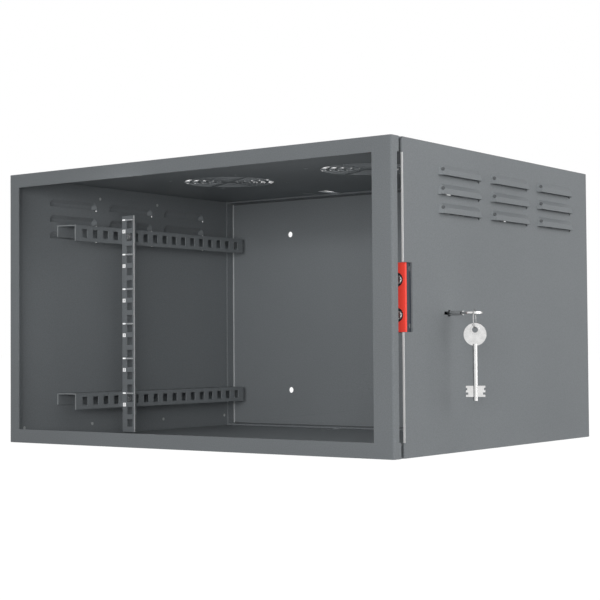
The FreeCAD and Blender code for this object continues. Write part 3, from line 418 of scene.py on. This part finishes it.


# Edge highlight: the right sheet's front edge is a painted highlight in near-white steel, a bright
# line beside the slot, above and below the lock's notch. Its two ends keep their coat.
def edge_strip(across, along, width, thick, bottom, top):
    """A thin upright strip with broken edges, between two heights."""
    bpy.ops.mesh.primitive_cube_add(size=1, location=(across, along, (bottom + top) / 2))
    strip = bpy.context.object
    strip.scale = (width, thick, top - bottom)
    bpy.ops.object.transform_apply(location=False, rotation=False, scale=True)
    bpy.ops.object.mode_set(mode="EDIT")
    bpy.ops.mesh.select_all(action="SELECT")
    bpy.ops.mesh.bevel(offset=0.00006, segments=1)
    bpy.ops.object.mode_set(mode="OBJECT")
    return strip


sheet_low, highlight_low, notch_low = 0.0005, 0.0156, 0.1257
notch_high, highlight_high, sheet_high = 0.1963, 0.3062, 0.32
highlight_lines = []
for bottom, top in ((highlight_low, notch_low), (notch_high, highlight_high)):
    highlight_lines.append(edge_strip(0.27425, -0.2, 0.0022, 0.0006, bottom, top))
add_to_case(join(highlight_lines, "sheet_edge_highlight"), bright_steel_highlight)
coated_ends = []
for bottom, top in ((sheet_low, highlight_low), (highlight_high, sheet_high)):
    coated_ends.append(edge_strip(0.27405, -0.2008, 0.0019, 0.0016, bottom, top))
add_to_case(join(coated_ends, "coated_sheet_ends"), slate)


# Spot welds: round marks on the inside where the sides are welded to the top and the bottom.
# Each is a low disc with a soft edge, coloured lighter than the sheet as a painted highlight.
bpy.ops.mesh.primitive_cylinder_add(vertices=20, radius=0.002, depth=0.0006,
                                    rotation=(0, math.pi / 2, 0))
weld = bpy.context.object
weld.name = "weld"
bpy.ops.object.transform_apply(location=False, rotation=True, scale=False)
bpy.ops.object.mode_set(mode="EDIT")
bpy.ops.mesh.select_all(action="SELECT")
bpy.ops.mesh.bevel(offset=0.00025, segments=2)
bpy.ops.object.mode_set(mode="OBJECT")
weld_places = [(along, 0.305) for along in (-0.066, 0.044)]
weld_places += [(along, 0.016) for along in (-0.198, -0.081, 0.055, 0.185)]
welds = []
for wall in (-0.272, 0.273):
    for along, up in weld_places:
        welds.append(another(weld, Matrix.Translation((wall, along, up))))
bpy.data.objects.remove(weld)
welds = join(welds, "spot_welds")
bpy.ops.object.shade_smooth_by_angle(angle=math.radians(50))
add_to_case(welds, painted_highlight_coat)


# Brackets: inverted channels of 1.5 mm steel with a row of square holes, welded along each side
# to carry the rails. They have the case's coat, with a lighter painted highlight on their front ends.
bracket_end_highlight = powder_coat("bracket_end_highlight_coat", (0.32, 0.34, 0.35), 0.4)
for node in ("bracket_upper_left", "bracket_upper_right", "bracket_lower_left",
             "bracket_lower_right"):
    bracket = plain_copy(node, node + "_channel")
    round_off(bracket, 0.0003)
    dress(bracket, node, "case", slate)
    paint_faces(bracket, bracket_end_highlight, lambda spot, way: way.y < -0.5 and spot.y < -0.13)


# Rack rails: folded angles with three square holes to each rack unit, coated like the case, their
# free edges a painted highlight in near-white steel. White print beside the holes marks where each
# unit begins, and its number below. The ink has a little light of its own, so that it stays white
# in the shade.
for node in ("rack_rail_left", "rack_rail_right"):
    rail = plain_copy(node, node + "_angle")
    round_off(rail, 0.0003)
    dress(rail, node, "case", slate)
    paint_faces(rail, bright_steel_highlight, lambda spot, way: abs(spot.x) < 0.2256 and abs(way.y) < 0.9)

white_ink = powder_coat("white_ink", (0.9, 0.91, 0.91), 0.5, 0.02)
ink = white_ink.node_tree.nodes["Principled BSDF"].inputs
ink["Emission Color"].default_value = (1, 1, 1, 1)
ink["Emission Strength"].default_value = 0.35
unit_height, first_line = 0.04445, 0.0101
print_front, number_front = -0.05402, -0.05408
number_across, number_drop = 0.2416, 0.0147
patches = []
for width, height, across, drop in ((0.005, 0.0019, 0.2418, 0), (0.0184, 0.0003, 0.2352, 0),
                                    (0.0051, 0.0047, number_across, number_drop)):
    bpy.ops.mesh.primitive_cube_add(size=1)
    patch = bpy.context.object
    patch.name = "ink_patch"
    patch.scale = (width, 0.0001, height)
    bpy.ops.object.transform_apply(location=False, rotation=False, scale=True)
    patches.append((patch, across, drop))
upright = Matrix.Rotation(math.pi / 2, 4, "X")
for side, end in ((-1, "left"), (1, "right")):
    marks = []
    numbers = []
    for unit in range(1, 7):
        line = first_line + unit_height * unit
        for patch, across, drop in patches:
            marks.append(another(patch, Matrix.Translation((side * across, print_front, line - drop))))
        bpy.ops.object.text_add()
        number = bpy.context.object
        number.data.body = str(unit)
        number.data.align_x = "CENTER"
        number.data.align_y = "CENTER"
        number.data.size = 0.0045
        number.data.extrude = 0.00003
        alone(number)
        bpy.ops.object.convert(target="MESH")
        number = bpy.context.object
        place = Matrix.Translation((side * number_across, number_front, line - number_drop))
        number.matrix_world = place @ upright
        numbers.append(number)
    add_to_case(join(marks, "rail_marks_" + end), white_ink)
    add_to_case(join(numbers, "rail_numbers_" + end), slate)
for patch, across, drop in patches:
    bpy.data.objects.remove(patch)


# Rail screws and nuts: zinc-plated pan heads with a cross recess, and square nuts behind.
# They hold each rail to a bracket above and below.
def plated(name, colour, roughness):
    """Plated metal with fine rubbing marks and a little tarnish."""
    made = bpy.data.materials.new(name)
    made.use_nodes = True
    tree = made.node_tree
    shader = tree.nodes["Principled BSDF"]
    shader.inputs["Metallic"].default_value = 1.0
    spot = tree.nodes.new("ShaderNodeTexCoord")
    stretch = tree.nodes.new("ShaderNodeMapping")
    stretch.inputs["Scale"].default_value = (1, 1, 0.2)
    tree.links.new(spot.outputs["Object"], stretch.inputs["Vector"])
    rub = tree.nodes.new("ShaderNodeTexNoise")
    rub.inputs["Scale"].default_value = 1500
    rub.inputs["Detail"].default_value = 4
    tarnish = tree.nodes.new("ShaderNodeTexNoise")
    tarnish.inputs["Scale"].default_value = 160
    tree.links.new(stretch.outputs["Vector"], rub.inputs["Vector"])
    tree.links.new(spot.outputs["Object"], tarnish.inputs["Vector"])
    ramp = tree.nodes.new("ShaderNodeValToRGB")
    ramp.color_ramp.elements[0].position = 0.3
    ramp.color_ramp.elements[0].color = [value * 0.88 for value in colour] + [1]
    ramp.color_ramp.elements[1].position = 0.7
    ramp.color_ramp.elements[1].color = list(colour) + [1]
    tree.links.new(tarnish.outputs["Fac"], ramp.inputs[0])
    tree.links.new(ramp.outputs[0], shader.inputs["Base Color"])
    gloss = tree.nodes.new("ShaderNodeMapRange")
    gloss.inputs["To Min"].default_value = roughness
    gloss.inputs["To Max"].default_value = roughness + 0.08
    tree.links.new(rub.outputs["Fac"], gloss.inputs["Value"])
    tree.links.new(gloss.outputs[0], shader.inputs["Roughness"])
    bump = tree.nodes.new("ShaderNodeBump")
    bump.inputs["Strength"].default_value = 0.15
    bump.inputs["Distance"].default_value = 0.0001
    tree.links.new(rub.outputs["Fac"], bump.inputs["Height"])
    tree.links.new(bump.outputs[0], shader.inputs["Normal"])
    return made


zinc = plated("zinc_plate", (0.72, 0.73, 0.74), 0.28)
head_radius, head_height = 0.0055, 0.0032
shank_radius, shank_length = 0.003, 0.0116
bpy.ops.mesh.primitive_cylinder_add(vertices=32, radius=head_radius, depth=head_height,
                                    location=(0, 0, head_height / 2))
screw_head = bpy.context.object
bpy.ops.object.transform_apply(location=True, rotation=False, scale=False)
select_edges(screw_head, lambda a, b: min(a.z, b.z) > 0.003)
bpy.ops.mesh.bevel(offset=0.0022, segments=5)
bpy.ops.object.mode_set(mode="OBJECT")
for length, width in ((0.0058, 0.0012), (0.0012, 0.0058)):
    bpy.ops.mesh.primitive_cube_add(size=1, location=(0, 0, head_height))
    slit = bpy.context.object
    slit.scale = (length, width, 0.0028)
    cut = screw_head.modifiers.new("recess", "BOOLEAN")
    cut.object = slit
    alone(screw_head)
    bpy.ops.object.modifier_apply(modifier=cut.name)
    bpy.data.objects.remove(slit)
bpy.ops.mesh.primitive_cylinder_add(vertices=24, radius=shank_radius, depth=shank_length,
                                    location=(0, 0, -shank_length / 2))
shank = bpy.context.object
select_edges(shank, lambda a, b: max(a.z, b.z) < -0.005)
bpy.ops.mesh.bevel(offset=0.0008, segments=2)
bpy.ops.object.mode_set(mode="OBJECT")
screw = join([screw_head, shank], "screw")
screws = []
for side in (-1, 1):
    for up in (0.0465, 0.256):
        # The turn about X tips the screws 20 and 32 degrees off their axis, to the front or back.
        facing = Matrix.Rotation(-side * math.pi / 2, 4, "Y") @ Matrix.Rotation(0.3 + up, 4, "X")
        screws.append(another(screw, Matrix.Translation((side * 0.243, -0.046, up)) @ facing))
bpy.data.objects.remove(screw)
screws = join(screws, "rail_screws_cross")
bpy.ops.object.shade_smooth_by_angle(angle=math.radians(40))
dress(screws, "rail_screws", "case", zinc)
nuts = plain_copy("rail_nuts", "rail_nuts_square")
round_off(nuts, 0.0003)
dress(nuts, "rail_nuts", "case", zinc)


# Lock: a lever lock in a flat enamelled case behind the right side, with a red face plate in
# the slot. Black studs and zinc-plated nuts hold it, and its working parts are plated too. The
# red enamel has a little light of its own, to look as bright as it does in a studio.
lock_enamel_and_hole_shade = powder_coat("lock_enamel_and_hole_shade", (0.045, 0.052, 0.068), 0.4)
for node in ("lock_case", "lock_cover"):
    cased = plain_copy(node, node + "_enamelled")
    round_off(cased, 0.0002)
    dress(cased, node, "case", lock_enamel_and_hole_shade)
red_enamel = powder_coat("red_enamel", (0.95, 0.08, 0.055), 0.35, 0.02)
enamel = red_enamel.node_tree.nodes["Principled BSDF"].inputs
enamel["Emission Color"].default_value = (1, 0.07, 0.05, 1)
enamel["Emission Strength"].default_value = 0.3
plate = plain_copy("lock_faceplate", "red_face_plate")
round_off(plate, 0.0003, 3)
dress(plate, "lock_faceplate", "case", red_enamel)
low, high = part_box("lock_faceplate")
# The walls of the face plate's bolt holes take the dark lock enamel, as painted shade in the holes.
paint_faces(plate, lock_enamel_and_hole_shade, lambda spot, way: abs(way.y) < 0.5
            and low.x + 0.001 < spot.x < high.x - 0.001 and low.z + 0.001 < spot.z < high.z - 0.001)
black_zinc = plated("black_zinc", (0.16, 0.17, 0.18), 0.4)
coat("lock_studs", black_zinc)
for node in ("lock_nuts", "bolt_tail", "levers", "lever_post", "lever_springs"):
    coat(node, zinc)


# Lock bolts: two nickel-plated round bars with domed ends, flush with the face plate when the
# lock is open.
nickel = plated("bright_nickel", (0.77, 0.77, 0.765), 0.2)
edge_gloss = nickel.node_tree.nodes["Principled BSDF"].inputs["Specular Tint"]
edge_gloss.default_value = (0.25, 0.25, 0.25, 1)
bolts = plain_copy("lock_bolts", "domed_bolts")
behind_ends = -0.1935
select_edges(bolts, lambda a, b: max(a.y, b.y) < behind_ends)
bpy.ops.mesh.bevel(offset=0.003, segments=5)
bpy.ops.object.mode_set(mode="OBJECT")
round_off(bolts, 0.0002)
dress(bolts, "lock_bolts", "bolt", nickel)


# Keys: double-bitted keys turned and stamped from nickel-plated steel, one in the lock and a
# spare on the ring. Their edges are worn smooth.
for node, body in (("lock_key", "key"), ("spare_key", "spare")):
    key = plain_copy(node, node + "_worn")
    round_off(key, 0.00022)
    dress(key, node, body, nickel)


# Key ring: a split ring of plated spring steel, two close turns of flat wire. It hangs through
# the bow of the key in the lock and carries the spare.
wire_width, wire_height = 0.00125, 0.00045
wire_radius, turn_gap = 0.00925, 0.00098
bpy.ops.mesh.primitive_plane_add(size=1, rotation=(math.pi / 2, 0, 0))
ring = bpy.context.object
ring.name = "split_ring"
ring.scale = (wire_width, wire_height, 1)
ring.location = (wire_radius, 0, -0.0005)
bpy.ops.object.transform_apply(location=True, rotation=True, scale=True)
bpy.ops.object.mode_set(mode="EDIT")
bpy.ops.mesh.select_all(action="SELECT")
bpy.ops.mesh.bevel(offset=0.00014, segments=2, affect="VERTICES")
bpy.ops.mesh.delete(type="ONLY_FACE")
bpy.ops.object.mode_set(mode="OBJECT")
coil = ring.modifiers.new("coil", "SCREW")
coil.axis = "Z"
coil.angle = math.radians(700)
coil.screw_offset = turn_gap
coil.steps = 112
coil.render_steps = 112
bpy.ops.object.modifier_apply(modifier=coil.name)
bpy.ops.object.mode_set(mode="EDIT")
bpy.ops.mesh.select_all(action="SELECT")
bpy.ops.mesh.fill_holes(sides=0)
bpy.ops.mesh.normals_make_consistent(inside=False)
bpy.ops.object.mode_set(mode="OBJECT")
bpy.ops.object.shade_smooth_by_angle(angle=math.radians(40))
ring_axis = Vector((0.9336, 0.3584, 0))
ring.rotation_euler = ring_axis.to_track_quat("Z", "Y").to_euler()
ring.location = (0.308125, -0.11637, 0.139643)
bpy.ops.object.transform_apply(location=True, rotation=True, scale=True)
dress(ring, "key_ring", "ring", nickel)


# Size: the finished object's box, without the backdrop.
low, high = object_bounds()
